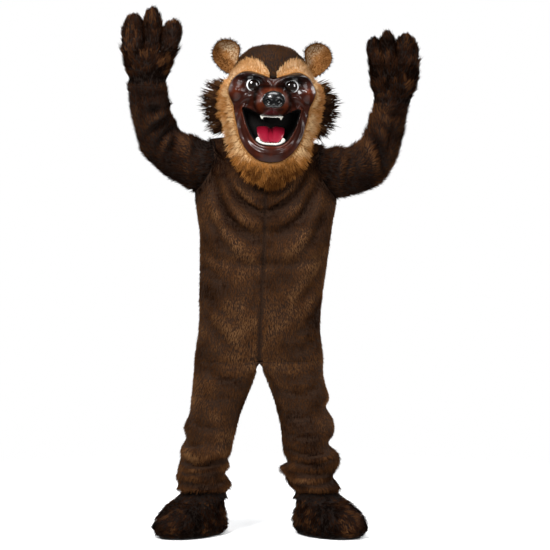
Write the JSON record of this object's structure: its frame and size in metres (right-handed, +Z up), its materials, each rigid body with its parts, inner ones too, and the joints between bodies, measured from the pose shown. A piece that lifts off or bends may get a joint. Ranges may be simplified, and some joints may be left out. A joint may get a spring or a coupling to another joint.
{
  "type": "wolverine mascot costume",
  "caption": "Full-body wolverine mascot costume: hollow fur-cloth suit with raised sleeves, mitts and foot covers, and a head with an open-mouthed moulded face.",
  "frame": {"origin": "on the wearer's shoulder line at the base of the neck, 1.51 m above the undersides of the soles", "axes": "+Z up, -Y the front of the costume, +X toward the right-hand side of the picture"},
  "size_m": [1.1586, 0.5668, 2.078],
  "materials": {
    "fur_brown": "deep pile fur cloth, brown",
    "fur_dark": "deep pile fur cloth, dark brown",
    "fur_tan": "deep pile fur cloth, tan",
    "moulded_brown": "painted moulded shell, gloss",
    "nose_black": "gloss",
    "eye_gloss": "painted and varnished, gloss",
    "tooth_white": "gloss",
    "tongue_red": "satin gloss",
    "mouth_screen": "black mesh screen cloth",
    "sole_rubber": "matt"
  },
  "bodies": {
    "root": {"beard": "fur_tan", "brow_band_left": "fur_tan", "brow_band_right": "fur_tan", "cheek_ruff_left": "fur_tan", "cheek_ruff_right": "fur_tan", "ear_back_left": "fur_dark", "ear_back_right": "fur_dark", "ear_lining_left": "fur_tan", "ear_lining_right": "fur_tan", "eye_left": "eye_gloss", "eye_right": "eye_gloss", "face_mask": "moulded_brown", "foot_cover_left": "fur_brown", "foot_cover_right": "fur_brown", "head_back": "fur_dark", "head_crown": "fur_dark", "leg_left": "fur_brown", "leg_right": "fur_brown", "lower_teeth": "tooth_white", "mane_left": "fur_dark", "mane_right": "fur_dark", "mitt_inner_left": "fur_brown", "mitt_inner_right": "fur_brown", "mitt_middle_left": "fur_brown", "mitt_middle_right": "fur_brown", "mitt_outer_left": "fur_brown", "mitt_outer_right": "fur_brown", "mitt_palm_left": "fur_brown", "mitt_palm_right": "fur_brown", "mouth_lining": "mouth_screen", "nose": "nose_black", "sleeve_left": "fur_brown", "sleeve_right": "fur_brown", "sole_left": "sole_rubber", "sole_right": "sole_rubber", "suit_back_left": "fur_brown", "suit_back_right": "fur_brown", "suit_front_left": "fur_brown", "suit_front_right": "fur_brown", "tongue": "tongue_red", "upper_teeth": "tooth_white"}
  },
  "joints": []
}
